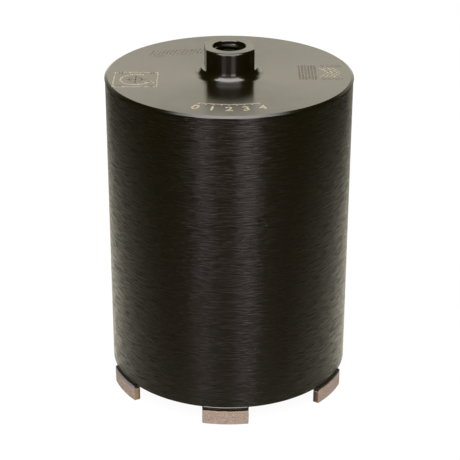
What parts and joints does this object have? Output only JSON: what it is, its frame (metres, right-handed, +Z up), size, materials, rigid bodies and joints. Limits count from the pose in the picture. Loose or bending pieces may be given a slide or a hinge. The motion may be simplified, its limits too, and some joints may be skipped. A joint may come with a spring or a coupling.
{
  "type": "diamond core bit",
  "caption": "Dry-cutting diamond core bit: a thin steel barrel with spaced abrasive segments on its lower rim and a turned end cap with a tapped spindle hub.",
  "frame": {"origin": "on the bit's axis, in the plane that the segments cut on", "axes": "+Z up the axis from the cutting plane to the hub's top face; one segment is centred on -Y"},
  "size_m": [0.1252, 0.127, 0.1815],
  "materials": {
    "barrel": "brushed round the barrel under a thin black lacquer, satin gloss",
    "cap": "turned smooth under a glossy black lacquer",
    "segment": "matt sandy tan sintered metal with diamond grit, black iron base"
  },
  "bodies": {
    "root": {"barrel_tube": "barrel", "end_cap": "cap", "segment_1": "segment", "segment_2": "segment", "segment_3": "segment", "segment_4": "segment", "segment_5": "segment", "segment_6": "segment"}
  },
  "joints": []
}
